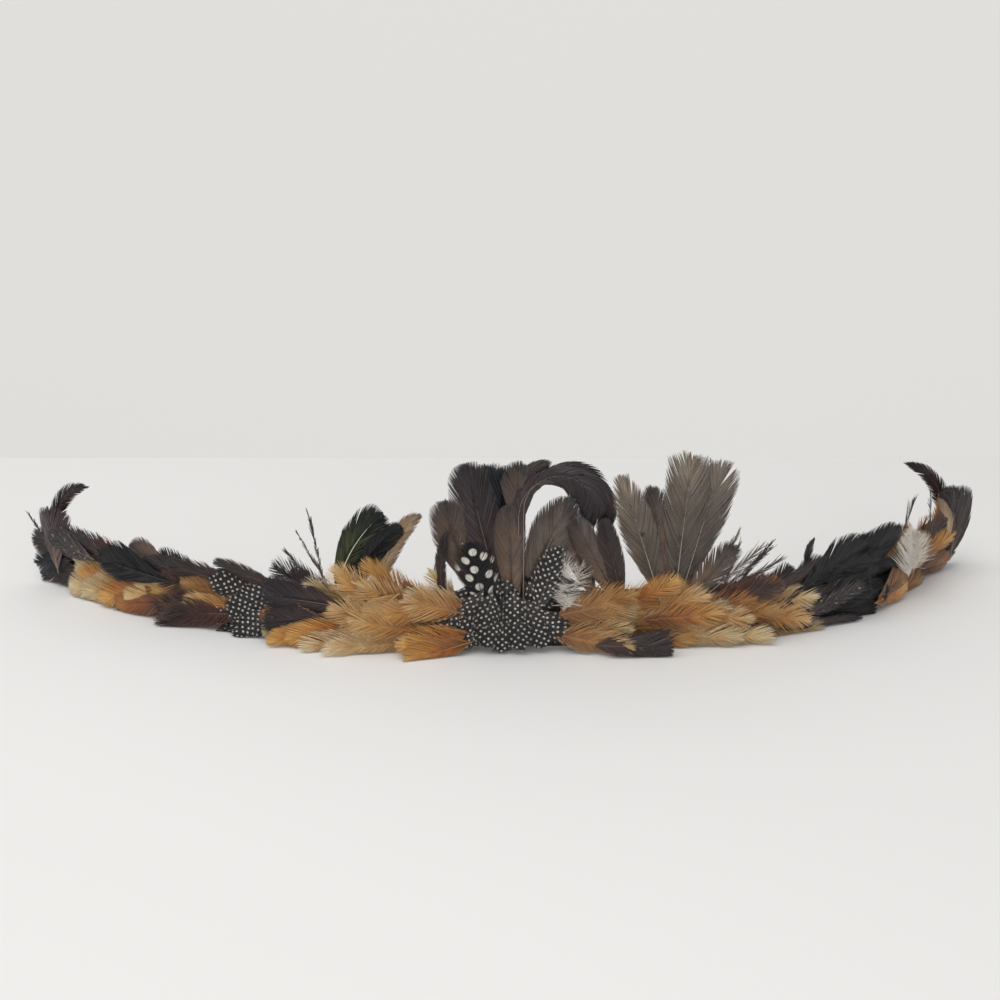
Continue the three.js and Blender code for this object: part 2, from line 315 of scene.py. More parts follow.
def feather_finish(name, along, edge, shaft, gloss=0.0, rough=0.55, sheen=0.25, streaks=0.35, marks=None):
    """A vane's finish. along holds the colours from quill to tip, edge colours the barbs' ends, and marks
    is a kind of pattern with its colour, its pitch and its size in millimetres."""
    finish = bpy.data.materials.new(name)
    finish.use_nodes = True
    tree = finish.node_tree
    tree.nodes.clear()
    add = partial(put, tree)
    root, across, tone, shade, on_shaft = (
        add(ATTRIBUTE, output="Fac", attribute_name=label)
        for label in ("root", "across", "tone", "shade", "shaft")
    )
    flat = add(ATTRIBUTE, output="Vector", attribute_name="flat")
    # Barbules are too fine to show, so streaks of a quarter of a millimetre along the barbs stand for them.
    grain_place = add(MAPPING, flat, vector_type="POINT", inputs={"Scale": (1.6, 0.35, 1)})
    grain = add(NOISE, grain_place, None, 1.4, 3.0, noise_dimensions="3D")
    patch = add(NOISE, flat, None, 0.09, 2.0, noise_dimensions="3D")
    # A colour's place along the vane shifts across it, from barb to barb and in broad patches.
    travel = root
    for value, middle, reach in ((across, 0.4, 0.22), (tone, 0.5, 0.12), (patch, 0.5, 0.7)):
        off = add(MATH, value, middle, operation="SUBTRACT")
        travel = add(MATH, travel, add(MATH, off, reach, operation="MULTIPLY"))
    seen = add("ShaderNodeValToRGB", travel)
    stops = seen.node.color_ramp.elements
    for place in range(len(along) - 2):
        stops.new(0.5)
    for stop, (position, text) in zip(stops, along):
        stop.position = position
        stop.color = colour(text)
    end = add(MATH, add(MATH, across, 2.5, operation="POWER"), 0.75, operation="MULTIPLY")
    seen = add(MIX, end, output=2, inputs={6: seen, 7: colour(edge)}, data_type="RGBA")
    if marks:
        kind, mark_colour, pitch, mark_size = marks
        turn = (0, 0, math.radians(45))
        fit = (1 / pitch, 1 / pitch, 0)
        place = add(MAPPING, flat, vector_type="POINT", inputs={"Rotation": turn, "Scale": fit})
        if kind == "spots":
            away = add(
                "ShaderNodeTexVoronoi", place, output="Distance", inputs={"Scale": 1, "Randomness": 0.28},
                feature="F1", voronoi_dimensions="2D",
            )
            inside = add(RANGE, away, 0.42 * mark_size / pitch, 0.58 * mark_size / pitch, 1, 0)
        elif kind == "bars":
            wave = add("ShaderNodeTexWave", place, None, 0.5, 3.0, output=1, wave_type="BANDS")
            inside = add(RANGE, wave, 0.55, 0.8, 0, 1)
        else:
            specks = add(NOISE, place, None, 1, 3.0, noise_dimensions="3D")
            inside = add(RANGE, specks, 0.62 - mark_size, 0.72 - mark_size, 0, 1)
        seen = add(MIX, inside, output=2, inputs={6: seen, 7: colour(mark_colour)}, data_type="RGBA")
    light = add(MATH, 1 - streaks / 2, add(MATH, grain, streaks, operation="MULTIPLY"))
    off = add(MATH, tone, 0.5, operation="SUBTRACT")
    light = add(MATH, light, add(MATH, off, 0.22, operation="MULTIPLY"))
    light = add(MATH, light, shade, operation="MULTIPLY")
    whole = add(COMBINE, light, light, light)
    seen = add(MIX, 1.0, output=2, inputs={6: seen, 7: whole}, data_type="RGBA", blend_type="MULTIPLY")
    seen = add(MIX, on_shaft, output=2, inputs={6: seen, 7: colour(shaft)}, data_type="RGBA")
    uneven = add(MATH, rough - 0.1, add(MATH, grain, 0.2, operation="MULTIPLY"))
    relief = add("ShaderNodeBump", inputs={"Strength": 0.35, "Distance": 0.0002, "Height": grain})
    surface = add("ShaderNodeBsdfPrincipled", inputs={
        "Base Color": seen,
        "Roughness": uneven,
        "Normal": relief,
        "IOR": KERATIN_IOR,
        "Sheen Weight": sheen,
        "Sheen Roughness": 0.4,
        "Coat Weight": gloss,
        "Coat Roughness": 0.28,
        "Specular IOR Level": 0.5 if sheen > 0.05 else 0.3,
    })
    add("ShaderNodeOutputMaterial", surface)
    return finish

# The colours run from the quill to the tip.
FINISHES = {
    # Cock hackle: warm orange-brown and satin, with pale fluffy tips.
    "ginger": feather_finish(
        "ginger_hackle", [(0, "#8a5526"), (0.35, "#b97c3a"), (0.7, "#d29b55"), (1, "#e2bd86")],
        "#e3c08a", "#cf9d5c", sheen=0.3,
    ),
    # The same feather from a paler bird: straw tips that catch the light.
    "gold": feather_finish(
        "golden_hackle", [(0, "#9a6a34"), (0.35, "#c8914a"), (0.7, "#e0b56c"), (1, "#f0d9a4")],
        "#eed39a", "#dcb574", sheen=0.3,
    ),
    # Darker hackle: deeper orange with a light gloss.
    "amber": feather_finish(
        "amber_hackle", [(0, "#6b3a14"), (0.45, "#b36b22"), (0.8, "#cf9443"), (1, "#e0b468")],
        "#dda655", "#c08a48", gloss=0.12, rough=0.45,
    ),
    # Buff body feather: cream tips, matt and soft.
    "buff": feather_finish(
        "buff_hackle", [(0, "#7f6040"), (0.35, "#b98d55"), (0.75, "#d4b27c"), (1, "#e8d6ae")],
        "#ead9b4", "#e6d3a8",
    ),
    # A thin buff wing feather, darker to its tip, with a pale shaft.
    "buff_plume": feather_finish(
        "buff_plume_vane", [(0, "#a98f72"), (0.4, "#c2a684"), (0.8, "#a08468"), (1, "#6e594a")],
        "#8a7058", "#e4d2b2",
    ),
    # Russet hackle: chestnut with a faint gloss.
    "russet": feather_finish(
        "russet_hackle", [(0, "#45250f"), (0.4, "#7d451d"), (0.8, "#a4642b"), (1, "#bd813f")],
        "#a96c34", "#8f6038", gloss=0.08,
    ),
    # Dark rust that turns nearly black at the tip, matt.
    "rust": feather_finish(
        "dark_rust_hackle", [(0, "#5a2c1a"), (0.4, "#4b251b"), (0.8, "#33201c"), (1, "#2a1b1a")],
        "#6b4433", "#a98a6c",
    ),
    # Dark brown wing feather: a broad vane with a purple-brown gloss.
    "dark_brown": feather_finish(
        "dark_brown_vane", [(0, "#4a342c"), (0.4, "#3b2824"), (0.8, "#2a1d1d"), (1, "#1c1517")],
        "#3a2b27", "#6d584a", gloss=0.2, rough=0.42, sheen=0.08,
    ),
    # A broad dark vane, almost black with a violet cast.
    "dark_plume": feather_finish(
        "purple_black_vane", [(0, "#5e4a42"), (0.3, "#453436"), (0.65, "#33262a"), (1, "#20181c")],
        "#2e2225", "#8b786a", gloss=0.2, rough=0.42, sheen=0.08,
    ),
    # Paler brown wing feather: the same violet cast with more brown showing.
    "purple_brown": feather_finish(
        "purple_brown_vane", [(0, "#77655b"), (0.4, "#604e4e"), (0.8, "#4a3a3e"), (1, "#33282b")],
        "#44363a", "#9a8878", gloss=0.25, rough=0.4, sheen=0.08,
    ),
    # Grey-brown wing feather: dull, with a dark edge and a pale shaft.
    "taupe": feather_finish(
        "taupe_vane", [(0, "#85766a"), (0.5, "#75675b"), (0.85, "#5a4b43"), (1, "#2c2221")],
        "#2f2523", "#b5a592", gloss=0.1,
    ),
    # Blue-black tail feather: a cold dark vane with a gloss.
    "blue_black": feather_finish(
        "blue_black_vane", [(0, "#26232a"), (0.5, "#1b1c25"), (1, "#15161d")],
        "#1d1f29", "#4b4742", gloss=0.25, rough=0.4, sheen=0.03,
    ),
    # Black tail feather: the glossiest, with streaks of light along the barbs.
    "black": feather_finish(
        "glossy_black_vane", [(0, "#171416"), (0.5, "#111113"), (1, "#0c0d0f")], "#151315", "#2c2827",
        gloss=0.3, rough=0.36, sheen=0.03, streaks=0.5,
    ),
    # Black tail feather with an olive green sheen and a white shaft.
    "green_black": feather_finish(
        "green_black_vane",
        [(0, "#241f19"), (0.25, "#474a2b"), (0.55, "#3a4128"), (0.8, "#1a201a"), (1, "#0e1312")],
        "#101413", "#e8e4da", gloss=0.3, rough=0.38, sheen=0.03,
    ),
    # Brown wing feather: mid brown to dark tips, nearly matt.
    "brown_plume": feather_finish(
        "brown_vane", [(0, "#8a705c"), (0.45, "#6d5646"), (0.85, "#4a3a32"), (1, "#2c2221")],
        "#3f312b", "#2a201d", gloss=0.1,
    ),
    # Grey-brown plume: dark roots and pale silvery tips.
    "grey_plume": feather_finish(
        "grey_brown_vane", [(0, "#33281f"), (0.35, "#524439"), (0.75, "#74665a"), (1, "#948472")],
        "#7d6e60", "#b9aa96", gloss=0.08,
    ),
    # Dark vane with short pale streaks.
    "streaked": feather_finish(
        "streaked_vane", [(0, "#3a2a26"), (0.5, "#2c2021"), (1, "#211a1c")], "#4a3a38", "#8d7a6c", gloss=0.2,
        marks=("flecks", "#b8a29a", 2.6, 0.01),
    ),
    # Barred body feather: amber with dark bands across.
    "barred": feather_finish(
        "barred_amber_vane", [(0, "#6a3a18"), (0.5, "#b5762f"), (1, "#cf9a52")], "#b07a3c", "#8a6438",
        marks=("bars", "#1b1412", 3.2, 0),
    ),
    # Guinea fowl: rows of round white spots on dark grey.
    "guinea": feather_finish(
        "guinea_fowl_vane", [(0, "#3a3636"), (0.5, "#262323"), (1, "#1b1819")], "#2c2828", "#6b655f",
        streaks=0.25, marks=("spots", "#d8d1c8", 3.1, 1.35), sheen=0.08,
    ),
    # The large spotted wing feather: fewer and bigger spots, near black between them.
    "guinea_large": feather_finish(
        "large_spotted_vane", [(0, "#242021"), (0.5, "#171516"), (1, "#121113")], "#1b191a", "#4a4543",
        streaks=0.25, marks=("spots", "#efe9e0", 7.8, 4.4), sheen=0.05,
    ),
    # White down: matt and bright, with soft shading only.
    "white": feather_finish(
        "white_down", [(0, "#efe9df"), (0.7, "#ebe5da"), (1, "#d9cfc2")], "#e6dfd3", "#efe9df", streaks=0.15,
        sheen=0.4,
    ),
}

# ---- Laying feathers ----
# How each kind of feather is built: its barbs, its outline and how its vane splits and cups.
KINDS = {
    "body": dict(
        bare=0.05, gap=0.46, barb=0.86, base=44, tip=0.11, fill=0.2, power=3.0, round=3.0,
        ragged=0.07, wild=0.08, shaft=0.26, forward=0.3, clumps=3, pull=0.08, splay=0.04, lift=0.08,
        cup=0.34,
    ),
    "hackle": dict(
        bare=0.05, gap=0.46, barb=0.84, base=34, tip=0.11, fill=0.3, power=1.7, round=3.0,
        ragged=0.12, wild=0.09, shaft=0.26, forward=0.2, clumps=3, pull=0.1, splay=0.05, lift=0.08,
        cup=0.24,
    ),
    "fluffy": dict(
        bare=0.04, gap=0.38, barb=0.62, base=50, tip=0.13, fill=0.16, power=2.8, round=3.0,
        ragged=0.28, wild=0.26, shaft=0.13, forward=0.34, clumps=4, pull=0.16, splay=0.09,
        lift=0.18, cup=0.26,
    ),
    "plume": dict(
        bare=0.07, gap=0.44, barb=1.2, base=35, tip=0.11, fill=0.3, power=3.0, round=3.0,
        ragged=0.03, wild=0.03, shaft=0.36, forward=0.22, clumps=3, pull=0.04, splay=0.03,
        lift=0.06, cup=0.38,
    ),
    "split": dict(
        bare=0.07, gap=0.44, barb=1.1, base=31, tip=0.11, fill=0.3, power=3.6, round=3.0,
        ragged=0.1, wild=0.06, shaft=0.32, forward=0.18, clumps=5, pull=0.1, splay=0.07, lift=0.14,
        cup=0.28,
    ),
    "spiky": dict(
        bare=0.05, gap=1.5, barb=0.62, base=22, tip=0.11, fill=0.3, power=2.0, round=3.0,
        ragged=0.45, wild=0.18, shaft=0.34, forward=0.05, clumps=6, pull=0.6, splay=0.12, lift=0.18,
        cup=0.05,
    ),
    "down": dict(
        bare=0.03, gap=0.5, barb=0.3, base=72, tip=0.11, fill=0.1, power=3.0, round=3.0, ragged=0.5,
        wild=0.9, shaft=0.16, forward=0.2, clumps=8, pull=0.35, splay=0.14, lift=0.45, cup=0.0,
    ),
    "guinea": dict(
        bare=0.04, gap=0.46, barb=0.8, base=56, tip=0.11, fill=0.16, power=3.0, round=3.0,
        ragged=0.1, wild=0.08, shaft=0.24, forward=0.3, clumps=3, pull=0.08, splay=0.02, lift=0.05,
        cup=0.32,
    ),
}
SHAFT_SHARE = 0.9  # of a feather's length; the last barbs reach past the shaft's end
BARB_THICKNESS = 0.16
BEND_STEPS = 120  # steps along a feather's shaft where it can turn
CLEARANCE = 2  # below this height a vane flattens towards the table instead of going through it
ATTRIBUTES = ("root", "across", "tone", "shaft", "shade")


def values_of(mesh, name):
    """One number for each of the mesh's points, zero where the tree stored none."""
    values = np.zeros(len(mesh.vertices))
    if name in mesh.attributes:
        mesh.attributes[name].data.foreach_get("value", values)
    return values


def feather(body, x, z, heading, length, width, kind="body", finish="ginger", seed=0, out=1.0, bend=0,
            curl_from=0.0, lean=0, curl=0, twist=0, roll=0, shade=1.0, wave=1.0, **changes):
    """One feather laid on a body. x, z and out place its quill's end on that length of strip. The heading
    is turned from the strip's own direction towards up, bend turns it further along the shaft, lean tips it
    out of the strip's face, curl bends it outwards, and roll and twist turn the vane about its shaft."""
    way = {**KINDS[kind], **changes}
    rng = np.random.default_rng(seed)
    sizes = {
        "Length": float(length) * SHAFT_SHARE,
        "Width": float(width),
        "Bare Quill": way["bare"],
        "Spacing": way["gap"],
        "Barb Width": way["barb"],
        "Barb Thickness": BARB_THICKNESS,
        "Base Angle": math.radians(way["base"]),
        "Tip Reach": way["tip"],
        "Filling": way["fill"],
        "Tip Power": way["power"],
        "Tip Round": way["round"],
        "Ragged": way["ragged"],
        "Wild": way["wild"],
        "Shaft Radius": way["shaft"],
        "Seed": int(seed),
        "Finish": FINISHES[finish],
    }
    mesh = made_by(FEATHER, sizes)
    count = len(mesh.vertices)
    flat = np.zeros(count * 3)
    mesh.vertices.foreach_get("co", flat)
    flat = flat.reshape(-1, 3)
    root, side, across = (values_of(mesh, name) for name in ("root", "side", "across"))
    x1, y1, z1 = flat[:, 0].copy(), flat[:, 1].copy(), flat[:, 2].copy()
    half = width / 2

    # The barbs curve towards the tip, and cling together in clumps with splits between them.
    x1 += way["forward"] * np.abs(y1) * across * (1 - root**3)
    for word in (-1, 1):
        edges = np.sort(rng.uniform(0.05, 1.0, way["clumps"]))
        place = np.searchsorted(edges, root)
        ends = np.concatenate([[0.0], edges, [1.02]])
        middle = (ends[place] + ends[place + 1]) / 2
        splays = rng.uniform(-1, 1, len(ends))[place]
        lifts = rng.uniform(-1, 1, len(ends))[place]
        own = (side == word) * np.clip(across, 0, 1) ** 1.5
        x1 += own * (way["pull"] * (middle - root) * length * 0.8 + way["splay"] * splays * half)
        y1 *= 1 - own * 0.10 * np.abs(splays)
        z1 += own * way["lift"] * lifts * half
    z1 -= way["cup"] * y1 * y1 / half
    phases = rng.uniform(0, 2 * math.pi, 4)
    z1 += wave * np.sin(x1 / 9 + phases[0]) * np.sin(y1 / 6 + phases[1]) * np.clip(np.abs(y1) / half, 0, 1)
    z1 += 0.4 * wave * np.sin(x1 / 3.1 + phases[2]) * np.clip(across, 0, 1) ** 2

    # The shaft's line, a step at a time, past its end for the last barbs.
    steps = BEND_STEPS
    reach = np.linspace(0, 1.5 * length, steps + 1)
    middle = (reach[1:] + reach[:-1]) / 2 / length
    turned = np.clip((middle - curl_from) / (1 - curl_from), 0, 1.15)
    h = np.radians(heading + bend * turned)
    e = np.radians(lean + curl * np.clip(middle, 0, 1.1) ** 1.5)
    w = np.radians(roll + twist * np.clip(middle, 0, 1))
    along = np.stack([np.cos(e) * np.cos(h), np.cos(e) * np.sin(h), np.sin(e)], 1)
    beside = np.stack([-np.sin(h), np.cos(h), np.zeros(steps)], 1)
    above = np.cross(along, beside)
    line = np.concatenate([[[x, z, out]], np.array([x, z, out]) + np.cumsum(along * reach[1], 0)])
    beside, above = (
        beside * np.cos(w)[:, None] + above * np.sin(w)[:, None],
        above * np.cos(w)[:, None] - beside * np.sin(w)[:, None],
    )
    where = np.clip(x1 / reach[1], -0.5, steps - 1.001)
    at = np.maximum(np.floor(where).astype(int), 0)
    share = (where - at)[:, None]
    spine = line[at] * (1 - share) + line[at + 1] * share
    held = np.clip(where - 0.5, 0, steps - 1.001)
    low = np.floor(held).astype(int)
    part = (held - low)[:, None]
    across_way = beside[low] * (1 - part) + beside[low + 1] * part
    above_way = above[low] * (1 - part) + above[low + 1] * part
    laid = spine + y1[:, None] * across_way + z1[:, None] * above_way

    origin, ahead, outward = BODIES[body]
    upright = laid[:, 1]
    low_part = CLEARANCE * np.exp((np.minimum(upright, CLEARANCE) - CLEARANCE) / CLEARANCE)
    upright = np.where(upright < CLEARANCE, low_part, upright)
    world = origin + MM * (laid[:, :1] * ahead + (FACE + laid[:, 2:3]) * outward)
    world[:, 2] += MM * upright
    mesh.vertices.foreach_set("co", world.ravel())
    loops = np.zeros(len(mesh.loops), int)
    mesh.loops.foreach_get("vertex_index", loops)
    starts = np.zeros(len(mesh.polygons), int)
    mesh.polygons.foreach_get("loop_start", starts)
    found = {name: values_of(mesh, name) for name in ATTRIBUTES[:-1]}
    found["shade"] = np.full(count, shade * rng.uniform(0.9, 1.1))
    shift = rng.uniform(0, 40)
    found["flat"] = flat * (1, 1, 0) + (shift, 0, shift)
    bpy.data.meshes.remove(mesh)
    return {"co": world, "loops": loops, "starts": starts, "finish": FINISHES[finish], **found}


def piece(name, body, feathers, replaces=()):
    """Several feathers as one piece that rides on a body."""
    mesh = bpy.data.meshes.new(name)
    finishes = []
    for one in feathers:
        if one["finish"] not in finishes:
            finishes.append(one["finish"])
    points = np.concatenate([one["co"] for one in feathers])
    loops, starts, kinds = [], [], []
    point, loop = 0, 0
    for one in feathers:
        loops.append(one["loops"] + point)
        starts.append(one["starts"] + loop)
        kinds.append(np.full(len(one["starts"]), finishes.index(one["finish"])))
        point += len(one["co"])
        loop += len(one["loops"])
    mesh.vertices.add(point)
    mesh.vertices.foreach_set("co", points.ravel())
    mesh.loops.add(loop)
    mesh.loops.foreach_set("vertex_index", np.concatenate(loops))
    starts = np.concatenate(starts)
    mesh.polygons.add(len(starts))
    mesh.polygons.foreach_set("loop_start", starts)
    for finish in finishes:
        mesh.materials.append(finish)
    mesh.polygons.foreach_set("material_index", np.concatenate(kinds))
    mesh.update(calc_edges=True)
    for label in ATTRIBUTES:
        values = np.concatenate([one[label] for one in feathers])
        mesh.attributes.new(label, "FLOAT", "POINT").data.foreach_set("value", values.astype(np.float32))
    flat = np.concatenate([one["flat"] for one in feathers]).astype(np.float32)
    mesh.attributes.new("flat", "FLOAT_VECTOR", "POINT").data.foreach_set("vector", flat.ravel())
    mesh.shade_smooth()
    made = bpy.data.objects.new(name, mesh)
    bpy.context.collection.objects.link(made)
    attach(made, body)
    if replaces:
        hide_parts(*replaces)
    return made


def outwards(side, up):
    """The heading of a feather that points to the strip's free end and up by some degrees."""
    return up if side > 0 else 180 - up


def fan(body, x, side, ups, lengths, widths, heights, outs, seed, finishes, kind):
    """A spread of feathers from one place on the strip, one for each angle in ups."""
    rng = np.random.default_rng(seed)
    made = []
    for place, up in enumerate(ups):
        share = place / max(1, len(ups) - 1)
        made.append(feather(
            body,
            x + side * rng.uniform(-5, 5),
            heights[0] + (heights[1] - heights[0]) * share + rng.uniform(-1.5, 1.5),
            outwards(side, up + rng.uniform(-5, 5)),
            rng.uniform(*lengths),
            rng.uniform(*widths),
            seed=seed * 31 + place,
            out=outs[0] + (outs[1] - outs[0]) * rng.random(),
            bend=side * rng.uniform(-14, 14),
            lean=rng.uniform(2, 9),
            curl=rng.uniform(-6, 12),
            roll=rng.uniform(-16, 16),
            shade=rng.uniform(0.82, 1.14),
            finish=finishes[place % len(finishes)],
            kind=kind,
        ))
    return made


# ---- The plumes, as the frame has them ----
# Their place along the strip is a share of a length, and sizes are in millimetres.
# name: (body, slot, at, heading, length, width, layer, how)
PLUMES = {
    "blue_black_plume": ("centre", "dark_plume", -0.07, 93, 80, 24, 0,
                         dict(kind="split", finish="blue_black", curl=-10, wave=3.0, power=6, round=6)),
    "brown_plume_left": ("centre", "brown_plume", -0.18, 127, 68, 28, 1,
                         dict(kind="plume", finish="brown_plume", bend=-28)),
    "brown_plume_broad": ("centre", "brown_plume", 0.0, 66, 70, 38, 2,
                          dict(kind="plume", finish="taupe", power=1.8)),
    "dark_plume_broad": ("centre", "dark_plume", -0.116, 104, 85, 37, 3,
                         dict(kind="plume", finish="dark_plume", cup=0.55, curl=-14, power=2.4)),
    "arched_plume": ("centre", "dark_plume", 0, 91, 146, 9, 4,
                     dict(kind="plume", finish="dark_plume", bend=-208, curl_from=0.36, power=2.0, pull=0.0,
                          forward=0.0, base=22)),
    "brown_plume_right": ("centre", "brown_plume", 0.5, 110, 64, 20, 1,
                          dict(kind="plume", finish="brown_plume", power=2.0)),
    "white_down_tuft": ("centre", "white", 0.27, 84, 34, 20, 0, dict(kind="down", finish="white")),
    "green_black_plume": ("left_inner", "green_black", -0.70, 83, 60, 24, 1,
                          dict(kind="plume", finish="green_black", bend=-42, shaft=0.6, power=4.5)),
    "buff_plume": ("left_inner", "buff", -0.4, 98, 60, 16, 0,
                   dict(kind="split", finish="buff_plume", bend=-64, power=1.5)),
    "left_end_plume": ("left_outer", "dark_brown", -0.94, 105, 54, 18, 0,
                       dict(kind="hackle", finish="dark_brown", bend=-98, power=1.0, fill=0.15, ragged=0.05)),
    "grey_plume_broad": ("right_inner", "grey_plume", 0.55, 74, 84, 30, 0,
                         dict(kind="split", finish="grey_plume", power=6, round=8)),
    "grey_plume_second": ("right_inner", "grey_plume", 0.46, 98, 70, 24, 1,
                          dict(kind="split", finish="brown_plume", power=1.9)),
    "grey_plume_third": ("right_inner", "grey_plume", 0.505, 84, 88, 30, 2,
                         dict(kind="split", finish="grey_plume", power=6, round=8)),
    "grey_plume_left": ("right_inner", "grey_plume", 0.415, 107, 80, 26, 3,
                        dict(kind="split", finish="grey_plume", power=2.0)),
    "grey_spike_plume": ("right_inner", "grey_plume", 0.7, 40, 48, 12, 1,
                         dict(kind="spiky", finish="grey_plume")),
    "hooked_plume": ("right_middle", "dark_brown", 0.49, 100, 28, 8, 0,
                     dict(kind="hackle", finish="dark_brown", bend=-60, curl_from=0.5)),
    "right_end_plume": ("right_outer", "dark_brown", 0.93, 84, 60, 15, 0,
                        dict(kind="hackle", finish="dark_brown", bend=76, curl=-30, roll=-30, power=1.0,
                             fill=0.15, ragged=0.05)),
}
FIRST_LAYER = 0.8  # the lowest shafts lie this far off the felt
LAYER_STEP = 1.35  # and each layer this much further
for seed, (name, (body, slot, at, heading, length, width, layer, how)) in enumerate(PLUMES.items()):
    out = FIRST_LAYER + LAYER_STEP * layer
    laid = feather(body, at * LENGTH, SEAT, heading, length, width, seed=seed, out=out, lean=-4, **how)
    piece(name, body, [laid], [name])

# ---- The rosette ----
ROSETTE_LAYER = 5
LIFTED_LAYER = 3  # the large feather, which stands clear of the rest
# name: (at, heading, length, width, layer, height, finish)
ROSETTE = {
    "spotted_feather_lower_left": (-0.035, 252, 30, 26, 0, 32, "guinea"),
    "spotted_feather_lower_right": (0.035, 286, 30, 26, 1, 32, "guinea"),
    "spotted_feather_right": (0.11, 72, 41, 20, 2, SEAT, "guinea"),
    "large_spotted_feather": (-0.23, 101, 41, 27, 3, SEAT + 4, "guinea_large"),
}
for seed, (name, (at, heading, length, width, layer, z, finish)) in enumerate(ROSETTE.items()):
    out = FIRST_LAYER + LAYER_STEP * (ROSETTE_LAYER + layer) + (3 if layer == LIFTED_LAYER else 0)
    x = at * LENGTH
    laid = feather("centre", x, z, heading, length, width, "guinea", finish, 40 + seed, out, lean=-2)
    piece(name, "centre", [laid], [name])
# Small spotted feathers in three layers thicken it: (x, z, heading, length, width, out).
pad = []
for seed, (x, z, heading, length, width, out) in enumerate((
    (-24, 30, 230, 30, 22, 9), (-14, 34, 250, 34, 24, 10), (-2, 36, 268, 36, 24, 11),
    (9, 35, 290, 34, 24, 10),
    (14, 28, 315, 28, 20, 9), (-22, 22, 226, 20, 18, 9), (-8, 30, 262, 26, 24, 12), (4, 26, 280, 24, 22, 12),
    (16, 34, 66, 30, 18, 8), (-4, 30, 120, 22, 20, 9), (-16, 44, 240, 24, 20, 8), (0, 46, 268, 26, 22, 8),
    (12, 44, 292, 24, 20, 8), (-13, 42, 238, 20, 18, 16), (-8, 42, 256, 24, 20, 17), (4, 42, 270, 22, 18, 16),
)):
    pad.append(feather(
        "centre", x - 7, z, heading, length, width, "guinea", "guinea", 60 + seed, out, lean=3, curl=-10,
    ))
piece("rosette_pad", "centre", pad)

# ---- The row along the strip ----
# Neighbouring feathers of a light colour differ from one to the next.
BLENDS = {
    "ginger": ("ginger", "gold", "ginger", "buff", "amber"),
    "golden": ("amber", "gold", "ginger", "amber"),
    "buff": ("buff", "ginger", "buff", "gold"),
    "amber": ("amber", "gold", "russet"),
    "russet": ("russet", "amber", "rust"),
    "barred": ("barred", "amber"),
}
# name: (body, slot, quill's place in mm, length, finish, kind, the feathers' angles upwards)
ROW = {
    "left_row_feather_1": ("centre", "ginger", -22, 52, "ginger", "fluffy", (-26, -10, 6, 20)),
    "left_row_feather_2": ("left_inner", "ginger", -10.3, 52, "ginger", "fluffy", (-22, -6, 10, 28, 44)),
    "left_row_feather_3": ("left_inner", "buff", -39, 46, "ginger", "fluffy", (-24, -8, 8, 22)),
    "left_row_feather_4": ("left_inner", "ginger", -62, 44, "amber", "body", (-20, -14, -8)),
    "left_row_feather_5": ("left_middle", "spotted", -10.3, 40, "guinea", "guinea", (-24, -6, 12)),
    "left_row_feather_6": ("left_middle", "russet", -39, 50, "rust", "fluffy", (-14, -4, 8)),
    "left_row_feather_7": ("left_middle", "buff", -67.7, 48, "amber", "body", (-16, -4, 10)),
    "left_row_feather_8": ("left_outer", "russet", -10.3, 46, "amber", "body", (-18, -4, 12)),
    "left_row_feather_9": ("left_outer", "buff", -27, 38, "buff", "body", (-26, -14, -4, 6)),
    "left_row_feather_10": ("left_outer", "dark_brown", -67.7, 28, "dark_brown", "body", (-8, 12)),
    "right_row_feather_1": ("centre", "ginger", 20, 52, "golden", "fluffy", (-14, 0, 12, 24)),
    "right_row_feather_2": ("right_inner", "ginger", 10.3, 52, "golden", "fluffy", (-8, 4, 16, 28)),
    "right_row_feather_3": ("right_inner", "buff", 36, 50, "buff", "fluffy", (-14, -6, 2)),
    "right_row_feather_4": ("right_inner", "russet", 60, 50, "russet", "fluffy", (-4, 8, 22)),
    "right_row_feather_5": ("right_middle", "buff", 4, 44, "buff", "fluffy", (-12, -4, 6)),
    "right_row_feather_6": ("right_middle", "black", 33, 52, "black", "plume", (-10, 6, 24)),
    "right_row_feather_7": ("right_middle", "black", 56, 40, "black", "plume", (4, 18, 32)),
    "right_row_feather_8": ("right_outer", "russet", 8, 44, "barred", "body", (-10, 6, 20)),
    "right_row_feather_9": ("right_outer", "russet", 39, 40, "russet", "body", (-4, 12, 26)),
    "right_row_feather_10": ("right_outer", "dark_brown", 62, 30, "dark_brown", "body", (-6, 16, 40)),
}
for number, (name, (body, slot, x, length, finish, kind, ups)) in enumerate(ROW.items()):
    side = 1 if x > 0 else -1
    lengths = (0.85 * length, 1.02 * length)
    blend = BLENDS.get(finish, (finish,))
    laid = fan(body, x, side, ups, lengths, (20, 27), (8, 23), (2.0, 5.0), 100 + number, blend, kind)
    piece(name, body, laid, [name])

